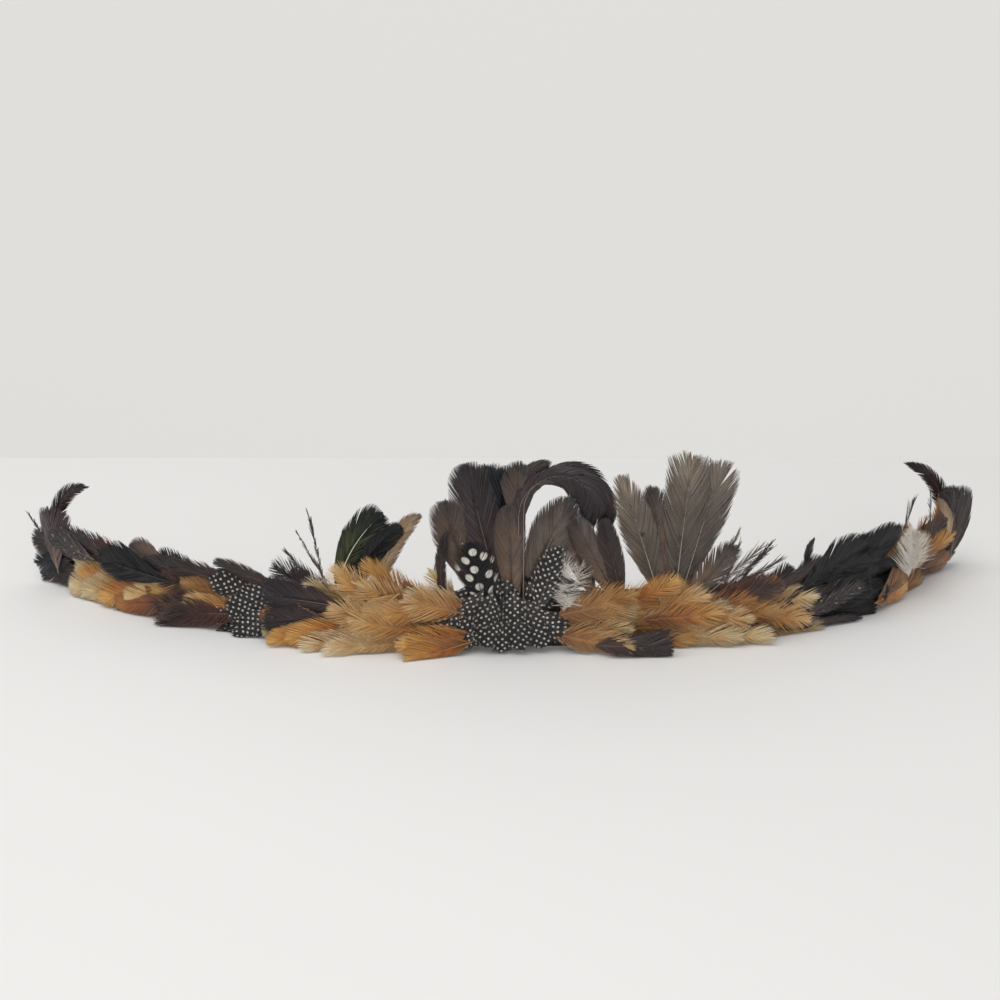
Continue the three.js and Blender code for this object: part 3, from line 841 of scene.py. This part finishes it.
# Small feathers under the row, from its middle line up past the strip's upper edge.
# name: (body, slot, finish, kind, from, to, how many, lowest and highest angle, longest)
UNDERS = {
    "under_left_end": ("left_outer", "dark_brown", "dark_brown", "body", -36, -72, 5, 0, 34, 30),
    "under_left_outer": ("left_outer", "dark_brown", "streaked", "body", -2, -44, 5, 6, 30, 32),
    "under_left_middle": ("left_middle", "dark_brown", "dark_plume", "body", -4, -76, 8, 6, 26, 38),
    "under_left_buff": ("left_middle", "buff", "buff", "body", -14, -70, 5, -6, 14, 32),
    "under_left_inner": ("left_inner", "dark_brown", "dark_brown", "fluffy", -30, -84, 6, 10, 40, 34),
    "under_left_ginger": ("left_inner", "ginger", "ginger", "fluffy", 0, -38, 7, 18, 48, 30),
    "under_centre_left": ("centre", "ginger", "buff", "fluffy", -26, -40, 5, 20, 60, 28),
    "under_centre": ("centre", "dark_brown", "dark_brown", "body", -20, 22, 7, 60, 100, 26),
    "under_centre_right": ("centre", "ginger", "golden", "fluffy", 24, 42, 4, 6, 30, 32),
    "under_right_ginger": ("right_inner", "ginger", "golden", "fluffy", 0, 44, 7, 8, 36, 32),
    "under_right_inner": ("right_inner", "russet", "russet", "fluffy", 30, 82, 7, 10, 36, 34),
    "under_right_middle": ("right_middle", "dark_brown", "dark_brown", "body", -2, 40, 7, 8, 40, 34),
    "under_right_black": ("right_middle", "black", "black", "body", 36, 82, 7, 12, 50, 34),
    "under_right_outer": ("right_outer", "russet", "barred", "body", 0, 40, 6, 10, 46, 30),
    "under_right_end": ("right_outer", "russet", "russet", "fluffy", 36, 78, 6, 10, 50, 26),
}
for number, (name, values) in enumerate(UNDERS.items()):
    body, slot, finish, kind, start, end, many, low, high, longest = values
    side = -1 if "left" in body or end < 0 else 1
    blend = BLENDS.get(finish, (finish,))
    rng = np.random.default_rng(300 + number)
    laid = []
    for place in range(many):
        share = (place + 0.5) / many
        laid.append(feather(
            body, start + (end - start) * share, rng.uniform(14, 27), outwards(side, rng.uniform(low, high)),
            rng.uniform(0.75, 1) * longest, rng.uniform(15, 21), kind, blend[place % len(blend)],
            900 + number * 20 + place,
            rng.uniform(0.6, 2.4), bend=side * rng.uniform(-12, 12), lean=rng.uniform(-2, 5),
            curl=rng.uniform(-8, 12), roll=rng.uniform(-12, 12), shade=rng.uniform(0.8, 1.1),
        ))
    piece(name, body, laid)

# Single feathers that stand out from the row, each on its length of strip.
# (x, z, out, heading, length, width, kind, finish, changes)
LOOSE = {
    "left_end_feathers": ("left_outer", "dark_brown", (
        (-74, 10, 8, 98, 42, 36, "plume", "purple_brown", dict(cup=0.5, curl=-8, lean=2, ragged=0.0)),
        (-60, 22, 5, 168, 36, 22, "body", "streaked", dict(lean=4)),
        (-46, 26, 4, 160, 32, 20, "body", "streaked", dict(lean=2)),
        (-84, 20, 2, 128, 30, 3, "spiky", "dark_brown", dict(lean=4)),
        (-42, 27, 9, 170, 38, 22, "body", "streaked", dict(lean=1)),
        (-58, 15, 4, 192, 32, 24, "body", "dark_brown", dict(lean=4)),
        (-50, 9, 4, 184, 30, 20, "body", "dark_brown", dict(lean=5)),
        (-24, 28, 8, 164, 36, 22, "body", "dark_brown", dict(lean=1)),
    )),
    "left_end_buffs": ("left_outer", "buff", (
        (-10, 20, 7, 203, 46, 30, "body", "buff", dict(lean=8, curl=-4)),
        (-22, 12, 6, 188, 42, 26, "body", "buff", dict(lean=10)),
        (-24, 14, 7, 178, 32, 20, "body", "amber", dict(lean=6)),
        (4, 20, 8, 200, 44, 26, "body", "amber", dict(lean=8)),
        (14, 12, 7, 190, 40, 24, "body", "russet", dict(lean=10)),
    )),
    "left_top_feathers": ("left_middle", "brown_plume", (
        (-70, 28, 6, 158, 36, 24, "plume", "brown_plume", dict(curl=-6)),
        (-48, 30, 5, 172, 46, 18, "hackle", "dark_plume", dict(lean=3)),
        (-28, 28, 6, 168, 50, 18, "hackle", "dark_brown", dict(lean=3)),
        (-4, 32, 5, 166, 44, 14, "hackle", "dark_brown", dict(lean=2)),
    )),
    "left_rusts": ("left_middle", "russet", (
        (-28, 12, 6, 184, 50, 24, "fluffy", "rust", dict(lean=10)),
        (-40, 8, 7, 190, 44, 20, "fluffy", "rust", dict(lean=12)),
        (-58, 22, 5, 178, 36, 20, "body", "buff", dict(lean=4)),
        (-34, 24, 7, 176, 34, 20, "body", "barred", dict(lean=3)),
        (-30, 18, 7, 186, 36, 20, "fluffy", "ginger", dict(lean=4)),
    )),
    "left_guineas": ("left_middle", "spotted", (
        (-4, 30, 6, 208, 38, 28, "guinea", "guinea", dict(lean=5)),
        (-10, 18, 8, 222, 30, 26, "guinea", "guinea", dict(lean=8)),
    )),
    "left_dark_feathers": ("left_inner", "dark_brown", (
        (-54, 24, 7, 172, 48, 30, "body", "dark_plume", dict(lean=4, cup=0.4)),
        (-60, 16, 9, 184, 42, 26, "body", "dark_plume", dict(lean=4, cup=0.4)),
        (-66, 28, 4, 150, 36, 24, "fluffy", "dark_plume", dict(lean=0)),
        (-62, 30, 2, 120, 44, 3, "spiky", "dark_brown", dict(lean=-4)),
        (-66, 30, 2, 102, 52, 3, "spiky", "dark_brown", dict(lean=-6)),
        (-70, 30, 2, 128, 34, 5, "spiky", "dark_brown", dict(lean=-2)),
    )),
    "left_ambers": ("left_inner", "ginger", (
        (-46, 14, 9, 192, 44, 22, "body", "amber", dict(lean=8)),
        (-60, 8, 8, 186, 40, 20, "body", "amber", dict(lean=12)),
    )),
    "left_green_feathers": ("left_inner", "green_black", (
        (-50, 26, 3, 82, 56, 14, "plume", "black", dict(bend=-46, curl=-6)),
        (-6, 24, 6, 134, 24, 9, "hackle", "green_black", dict(bend=50)),
    )),
    "left_gingers": ("left_inner", "ginger", (
        (-34, 36, 11, 232, 42, 22, "body", "ginger", dict(bend=26, lean=6)),
        (-22, 37, 12, 218, 38, 22, "body", "gold", dict(bend=22, lean=6)),
        (-4, 30, 12, 198, 42, 22, "body", "ginger", dict(bend=-14, lean=6)),
        (-4, 12, 9, 168, 50, 30, "fluffy", "ginger", dict(lean=12)),
        (-8, 20, 8, 150, 46, 28, "fluffy", "ginger", dict(lean=6)),
        (-20, 14, 10, 162, 46, 28, "fluffy", "ginger", dict(lean=10)),
        (-30, 22, 8, 138, 42, 26, "fluffy", "ginger", dict(lean=4)),
        (-14, 6, 9, 182, 54, 24, "fluffy", "buff", dict(lean=14)),
        (-36, 8, 8, 188, 46, 22, "fluffy", "buff", dict(lean=14)),
    )),
    "centre_gingers": ("centre", "ginger", (
        (-24, 12, 9, 186, 46, 26, "fluffy", "amber", dict(lean=10)),
        (-22, 22, 8, 164, 46, 28, "fluffy", "ginger", dict(lean=6)),
        (-26, 8, 10, 192, 42, 20, "body", "amber", dict(lean=14)),
        (18, 12, 8, -8, 48, 24, "fluffy", "ginger", dict(lean=8)),
        (20, 22, 7, 16, 46, 26, "fluffy", "ginger", dict(lean=4)),
    )),
    "centre_plumes": ("centre", "dark_plume", (
        (-4, 26, 8, 92, 62, 24, "plume", "brown_plume", dict(lean=-6, power=1.9)),
        (-2, 26, 6, 89, 86, 26, "plume", "brown_plume", dict(lean=-5, bare=0.62, power=2.6)),
        (-14, 27, 2, 116, 50, 26, "plume", "brown_plume", dict(lean=-4)),
        (-40, 27, 4, 112, 46, 8, "hackle", "dark_brown", dict(lean=-4, bend=-45)),
        (-11, 27, 4, 96, 82, 22, "split", "blue_black", dict(lean=-5, wave=3.5, curl=-26, power=6, round=6)),
        (2, 27, 3, 91, 93, 9, "plume", "brown_plume", dict(lean=-4, bend=-100, curl_from=0.72, bare=0.7)),
        (2, 27, 7, 90, 132, 26, "plume", "dark_plume",
         dict(bend=-222, curl_from=0.44, lean=-4, bare=0.62, power=2.4)),
        (0, 27, 5, 92, 140, 6, "split", "dark_plume", dict(bend=-205, curl_from=0.38, lean=-4, bare=0.3)),
        (24, 26, 8, 70, 34, 24, "down", "white", dict(lean=2)),
        (28, 28, 8, 98, 34, 24, "down", "white", dict(lean=0)),
        (34, 26, 7, 128, 28, 18, "fluffy", "white", dict(lean=0)),
        (44, 40, 9, 168, 30, 9, "spiky", "dark_brown", dict(lean=-2)),
        (42, 38, 9, 184, 24, 9, "spiky", "dark_brown", dict(lean=-2)),
    )),
    "right_squares": ("right_inner", "dark_brown", (
        (-2, 8, 15, -4, 44, 24, "split", "dark_brown", dict(lean=6, power=9, round=9)),
        (-5, 8, 15, -3, 38, 18, "fluffy", "dark_brown", dict(lean=4)),
        (12, 27, 5, 116, 60, 18, "plume", "brown_plume", dict(lean=-4, power=2.0)),
        (14, 27, 6, 103, 54, 15, "plume", "dark_brown", dict(lean=-4, power=2.0)),
    )),
    "right_buffs": ("right_inner", "buff", (
        (34, 10, 6, -6, 50, 22, "fluffy", "buff", dict(lean=8)),
        (52, 8, 6, -4, 50, 20, "fluffy", "buff", dict(lean=8)),
        (24, 18, 7, 4, 48, 24, "fluffy", "amber", dict(lean=5)),
        (46, 20, 6, 10, 46, 22, "fluffy", "russet", dict(lean=4)),
        (64, 22, 5, 16, 44, 20, "fluffy", "russet", dict(lean=2)),
    )),
    "right_spikes": ("right_inner", "grey_plume", (
        (66, 26, 2, 30, 50, 7, "spiky", "brown_plume", dict(lean=0)),
        (72, 26, 3, 52, 46, 5, "spiky", "dark_brown", dict(lean=0)),
        (58, 26, 3, 62, 52, 5, "spiky", "grey_plume", dict(lean=-2)),
        (78, 24, 3, 24, 50, 9, "spiky", "dark_brown", dict(lean=2)),
        (64, 26, 4, 42, 50, 5, "spiky", "dark_brown", dict(lean=0)),
        (50, 26, 4, 50, 44, 20, "body", "brown_plume", dict(lean=0)),
        (40, 27, 3, 112, 46, 16, "split", "brown_plume", dict(lean=-2)),
        (70, 26, 2, 74, 40, 5, "spiky", "brown_plume", dict(lean=0)),
    )),
    "right_dark_feathers": ("right_middle", "black", (
        (6, 16, 5, 6, 52, 20, "hackle", "dark_brown", dict(lean=3)),
        (10, 24, 4, 22, 48, 16, "hackle", "dark_brown", dict(lean=2)),
        (26, 22, 6, 28, 56, 30, "plume", "black", dict(lean=2)),
        (30, 14, 6, 12, 50, 28, "plume", "black", dict(lean=3)),
        (52, 24, 4, 40, 40, 20, "split", "black", dict(lean=0)),
        (34, 10, 8, 20, 40, 16, "fluffy", "streaked", dict(lean=6)),
        (14, 5, 7, -3, 60, 9, "hackle", "dark_brown", dict(lean=4)),
    )),
    "right_end_feathers": ("right_outer", "russet", (
        (2, 16, 6, 24, 40, 24, "body", "barred", dict(lean=2)),
        (-8, 13, 8, 10, 38, 24, "body", "barred", dict(lean=2)),
        (-10, 9, 7, -2, 36, 22, "body", "amber", dict(lean=3)),
        (22, 14, 5, 30, 36, 22, "body", "barred", dict(lean=2)),
        (50, 20, 5, 40, 34, 20, "fluffy", "russet", dict(lean=2)),
        (60, 26, 4, 62, 30, 16, "fluffy", "amber", dict(lean=0)),
        (20, 28, 2, 60, 40, 14, "spiky", "dark_brown", dict(lean=0)),
    )),
    "right_end_plumes": ("right_outer", "dark_brown", (
        (80, 10, 8, 70, 50, 38, "plume", "dark_brown", dict(lean=4, bend=70, curl=-10, roll=-35, power=1.8)),
        (76, 12, 9, 74, 50, 24, "plume", "dark_plume", dict(lean=2, bend=60, curl=-14, roll=-35, power=1.8)),
        (72, 22, 9, 90, 34, 8, "hackle", "buff_plume", dict(bend=40, curl=-20, roll=-40)),
        (26, 20, 12, 92, 27, 30, "down", "white", dict(lean=0, roll=-45)),
        (26, 19, 11, 92, 26, 26, "fluffy", "white", dict(lean=0, roll=-45)),
        (58, 27, 2, 80, 34, 6, "spiky", "brown_plume", dict(bend=30)),
    )),
}
for number, (name, (body, slot, feathers)) in enumerate(LOOSE.items()):
    laid = []
    for place, (x, z, out, heading, length, width, kind, finish, changes) in enumerate(feathers):
        seed = 500 + number * 12 + place
        laid.append(feather(body, x, z, heading, length, width, kind, finish, seed, out, **changes))
    piece(name, body, laid)

# ---- Covers ----
# name: (body, slot, side, over, past, up, heading, length, width, finish, kind)
COVERS = {
    "dark_tuft": ("left_inner", "dark_brown", -1, 1, 7, 0.55, 150, 36, 22, "dark_plume", "body"),
    "black_cap_feather": ("left_middle", "black", -1, 1, 11, 1.1, 169, 48, 33, "black", "plume"),
    "left_end_cover": ("left_outer", "black", -1, 1, 2, 0.64, 196, 32, 22, "blue_black", "body"),
    "black_plume_right": ("right_middle", "black", 1, 0, 6, 0.2, 33, 70, 28, "black", "plume"),
    "white_feather": ("right_outer", "white", 1, 0, -11, 0.2, 96, 34, 50, "white", "fluffy"),
}
COVER_OUT = {
    "dark_tuft": 6, "black_cap_feather": 8, "left_end_cover": 6, "black_plume_right": 5, "white_feather": 10,
}
for seed, (name, values) in enumerate(COVERS.items()):
    body, slot, side, over, past, up, heading, length, width, finish, kind = values
    x = side * (0.12 * LENGTH + (over - 1) * LENGTH / 3 + 52 + past)
    z = ROW_HEIGHT + up * 11
    out = COVER_OUT[name]
    laid = feather(body, x, z, heading, length, width, kind, finish, 200 + seed, out, lean=4, curl=-4)
    piece(name, body, [laid], [name])


# ---- The felt strip and its ribbon lining ----
FILLET = 10  # the strip bends softly over this far on each side of a fold
RIB_SCALE = 0.314  # gives the wave texture one rib to each unit of pitch
STRIP_STEPS = 56
STITCH_PITCH = 2.4
STITCH_LENGTH = 1.7
THREAD_RADIUS = 0.17
STITCH_INSET = 1.6  # from the lining's edge


def weave_finish(name, dark, light, scale, rough, ribs):
    """Fibre or ribbed ribbon: scale is the fibres' size or the ribs' pitch in millimetres."""
    finish = bpy.data.materials.new(name)
    finish.use_nodes = True
    tree = finish.node_tree
    tree.nodes.clear()
    add = partial(put, tree)
    flat = add(ATTRIBUTE, output=1, attribute_name="flat")
    if ribs:
        pattern = add(
            "ShaderNodeTexWave", flat, None, 1.5, 2.0, output=1, inputs={"Scale": RIB_SCALE / scale},
            wave_type="BANDS", bands_direction="X",
        )
    else:
        stretch = (1 / scale, 0.5 / scale, 1 / scale)
        fibre_place = add(MAPPING, flat, vector_type="POINT", inputs={"Scale": stretch})
        pattern = add(NOISE, fibre_place, None, 1, 4.0)
    shade = add("ShaderNodeValToRGB", pattern)
    shade.node.color_ramp.elements[0].color = colour(dark)
    shade.node.color_ramp.elements[1].color = colour(light)
    relief = add("ShaderNodeBump", inputs={"Strength": 0.6, "Distance": 0.0004, "Height": pattern})
    surface = add("ShaderNodeBsdfPrincipled", inputs={
        "Base Color": shade,
        "Normal": relief,
        "Roughness": rough,
        "Sheen Weight": 0.3,
    })
    add("ShaderNodeOutputMaterial", surface)
    return finish


# Wool felt: matt and nearly black, with fine matted fibres. Grosgrain ribbon: satin brown, with ribs across
# it every millimetre. Sewing thread: dark, a little paler than the ribbon, so that the stitches just show.
FELT_FINISH = weave_finish("black_wool_felt", "#141110", "#2a2523", 0.9, 0.95, False)
RIBBON_FINISH = weave_finish("brown_grosgrain_ribbon", "#1d1815", "#3a312b", 1.0, 0.6, True)
THREAD_FINISH = weave_finish("dark_sewing_thread", "#241e1a", "#4a4038", 0.3, 0.7, True)


def along_strip(left, right, fold, s, out, z):
    """Points of the strip at s along it from a fold, out from the lining's inner face, and z up."""
    way_left, way_right = BODIES[left][1], BODIES[right][1]
    t = np.clip((s + FILLET) / (2 * FILLET), 0, 1)[:, None]
    line = fold + MM * (
        way_left * (np.minimum(s, -FILLET)[:, None] + FILLET)
        + way_right * (np.maximum(s, FILLET)[:, None] - FILLET)
        - way_left * FILLET * (1 - t) ** 2
        + way_right * FILLET * t**2
    )
    ahead = way_left * (1 - t) + way_right * t
    ahead /= np.linalg.norm(ahead, axis=1)[:, None]
    outward = np.stack([ahead[:, 1], -ahead[:, 0], np.zeros(len(s))], 1)
    line = line + MM * out[:, None] * outward
    line[:, 2] += MM * z
    return line


def strip_mesh(name, place, start, end, free_end, inset, low_out, high_out, finish):
    """A closed length of felt or ribbon from start to end along the strip, its free end rounded."""
    steps = STRIP_STEPS
    s = np.linspace(start, end, steps + 1)
    if free_end:
        far = end if free_end > 0 else start
        s = np.where(np.abs(s - far) < 1e-6, far - free_end * inset, s)
        s = np.where((s - (far - free_end * inset)) * free_end > 0, far - free_end * inset, s)
        edge = np.abs(far - free_end * inset - s)
        taken = CORNER - np.sqrt(np.maximum(0, CORNER**2 - np.maximum(0, CORNER - edge) ** 2))
    else:
        taken = np.zeros(steps + 1)
    bevel = 0.3 * (high_out - low_out)
    rows = np.linspace(0, 1, 9)
    ring = [(low_out + bevel, 0.0, 0), (low_out, bevel, 0)] + [(low_out, 0, r) for r in rows[1:-1]]
    ring += [(low_out, -bevel, 1), (low_out + bevel, 0.0, 1)]
    ring += [(high_out - bevel, 0.0, 1), (high_out, -bevel, 1)]
    ring += [(high_out, 0, r) for r in rows[-2:0:-1]] + [(high_out, bevel, 0), (high_out - bevel, 0.0, 0)]
    points = []
    for here, less in zip(s, taken):
        low, high = inset + less, HEIGHT - inset - less
        for out, shift, share in ring:
            points.append((here, out, low + (high - low) * share + shift))
    points = np.array(points)
    n = len(ring)
    faces = []
    for i in range(steps):
        for j in range(n):
            k = (j + 1) % n
            faces.append((i * n + j, i * n + k, (i + 1) * n + k, (i + 1) * n + j))
    faces.append(tuple(reversed(range(n))))
    faces.append(tuple(steps * n + j for j in range(n)))
    mesh = bpy.data.meshes.new(name)
    mesh.from_pydata(along_strip(*place, points[:, 0], points[:, 1], points[:, 2]), [], faces)
    flat = np.stack([points[:, 0], points[:, 2], points[:, 1]], 1).astype(np.float32)
    mesh.attributes.new("flat", "FLOAT_VECTOR", "POINT").data.foreach_set("vector", flat.ravel())
    mesh.materials.append(finish)
    return shown(name, mesh)


def shown(name, mesh):
    """An object for a finished mesh, its faces pointing outwards."""
    shape = bmesh.new()
    shape.from_mesh(mesh)
    bmesh.ops.recalc_face_normals(shape, faces=shape.faces)
    shape.to_mesh(mesh)
    shape.free()
    made = bpy.data.objects.new(name, mesh)
    bpy.context.collection.objects.link(made)
    return made


def stitch_run(name, place, start, end):
    """Two rows of edge stitches on the lining's inner face from start to end along the strip."""
    sizes = {
        "Count": int((end - start) / STITCH_PITCH),
        "Pitch": STITCH_PITCH,
        "Stitch": STITCH_LENGTH,
        "Thread": THREAD_RADIUS,
        "Finish": THREAD_FINISH,
    }
    meshes = []
    for z in (LINING_INSET + STITCH_INSET, HEIGHT - LINING_INSET - STITCH_INSET):
        mesh = made_by(STITCHES, sizes)
        co = np.zeros(len(mesh.vertices) * 3)
        mesh.vertices.foreach_get("co", co)
        co = co.reshape(-1, 3)
        s = co[:, 0] + (start + end) / 2
        faces = [tuple(face.vertices) for face in mesh.polygons]
        meshes.append((along_strip(*place, s, 0.02 - co[:, 2], z + co[:, 1]), faces, co))
        bpy.data.meshes.remove(mesh)
    count = len(meshes[0][0])
    mesh = bpy.data.meshes.new(name)
    faces = meshes[0][1] + [tuple(v + count for v in face) for face in meshes[1][1]]
    mesh.from_pydata(np.concatenate([meshes[0][0], meshes[1][0]]), [], faces)
    flat = np.concatenate([meshes[0][2], meshes[1][2]]).astype(np.float32)
    mesh.attributes.new("flat", "FLOAT_VECTOR", "POINT").data.foreach_set("vector", flat.ravel())
    mesh.materials.append(THREAD_FINISH)
    return shown(name, mesh)


def strip_length(tag, place, start, end, free_end, bodies, nodes):
    """Felt, lining and stitches of one stretch of strip, fixed where they lie over a fold or riding one body
    at a free end.
    """
    felt = strip_mesh("felt_" + tag, place, start, end, free_end, 0, LINING + GLUE, FACE, FELT_FINISH)
    lining = strip_mesh("lining_" + tag, place, start, end, free_end, LINING_INSET, 0, LINING, RIBBON_FINISH)
    inner = (start + 1.2, end - 1.2)
    if free_end:
        inner = (start + 1.2, end - 9) if free_end > 0 else (start + 9, end - 1.2)
    stitches = stitch_run("stitches_" + tag, place, *inner)
    ends = along_strip(*place, np.array([-FILLET, FILLET]), np.zeros(2), np.full(2, HEIGHT / 2))
    for made, slot in ((felt, "felt"), (lining, "lining"), (stitches, "lining")):
        if len(bodies) == 2:
            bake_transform(made)
        else:
            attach(made, bodies[0])
    for node in nodes:
        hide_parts("felt_" + node)
        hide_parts("lining_" + node)


for word, side in SIDES.items():
    inner = "centre"
    for place in PLACES:
        body = f"{word}_{place}"
        fold = BODIES[body][0]
        left, right = (body, inner) if side < 0 else (inner, body)
        nodes = [body] + (["centre"] if body == "left_inner" else [])
        strip_length(body, (left, right, fold), -LENGTH / 2, LENGTH / 2, 0, (left, right), nodes)
        inner = body
    body = f"{word}_outer"
    far = (body, body, BODIES[body][0])
    start, end = (-LENGTH, -LENGTH / 2) if side < 0 else (LENGTH / 2, LENGTH)
    strip_length(word + "_end", far, start, end, side, (body,), [])

# ---- Floor, backdrop, lights and camera ----


def plain(name, text, glow=0.0):
    """Matt paint; the far wall glows a little, as its own light would have it."""
    finish = bpy.data.materials.new(name)
    finish.use_nodes = True
    surface = finish.node_tree.nodes["Principled BSDF"]
    surface.inputs["Base Color"].default_value = colour(text)
    surface.inputs["Roughness"].default_value = 0.9
    surface.inputs["Specular IOR Level"].default_value = 0.2
    surface.inputs["Emission Color"].default_value = colour(text)
    surface.inputs["Emission Strength"].default_value = glow
    return finish


def backdrop():
    """A pale table, and a pale wall that stands well behind its far edge."""
    level = -0.0004
    table = [(-4, -4, level), (4, -4, level), (4, 0.3, level), (-4, 0.3, level)]
    wall = [(-6, 3.5, -3), (6, 3.5, -3), (6, 3.5, 4), (-6, 3.5, 4)]
    for name, corners, finish in (
        ("table", table, plain("white_table", "#f1f0ee")),
        ("wall", wall, plain("white_wall", "#e3e2de", 0.42)),
    ):
        mesh = bpy.data.meshes.new(name)
        mesh.from_pydata(corners, [], [(0, 1, 2, 3)])
        mesh.materials.append(finish)
        made = bpy.data.objects.new(name, mesh)
        bpy.context.collection.objects.link(made)


def soft_light(name, place, target, size, power):
    """A softbox at a place, turned to its target."""
    lamp = bpy.data.lights.new(name, "AREA")
    lamp.shape = "RECTANGLE"
    lamp.size, lamp.size_y = size
    lamp.energy = power
    made = bpy.data.objects.new(name, lamp)
    made.location = place
    made.rotation_euler = (Vector(target) - Vector(place)).to_track_quat("-Z", "Y").to_euler()
    bpy.context.collection.objects.link(made)


backdrop()
soft_light("overhead_softbox", (-0.5, -0.5, 1.6), (0, 0, 0), (1.6, 1.2), 14)
soft_light("front_softbox", (0.6, -1.8, 0.9), (0, 0, 0.05), (1.4, 1.0), 5)
world = bpy.data.worlds.new("studio")
world.use_nodes = True
world.node_tree.nodes["Background"].inputs[0].default_value = (1, 1, 1, 1)
world.node_tree.nodes["Background"].inputs[1].default_value = 0.5
bpy.context.scene.world = world
bpy.context.scene.view_settings.view_transform = "Standard"

lens = bpy.data.cameras.new("camera")
lens.lens = 75.27
lens.sensor_width = 36
camera = bpy.data.objects.new("camera", lens)
camera.location = (-0.011, -1.0663, 0.5198)
camera.rotation_euler = (Vector((-0.011, 0, 0.08898)) - camera.location).to_track_quat("-Z", "Y").to_euler()
bpy.context.collection.objects.link(camera)
bpy.context.scene.camera = camera

bpy.context.view_layer.update()
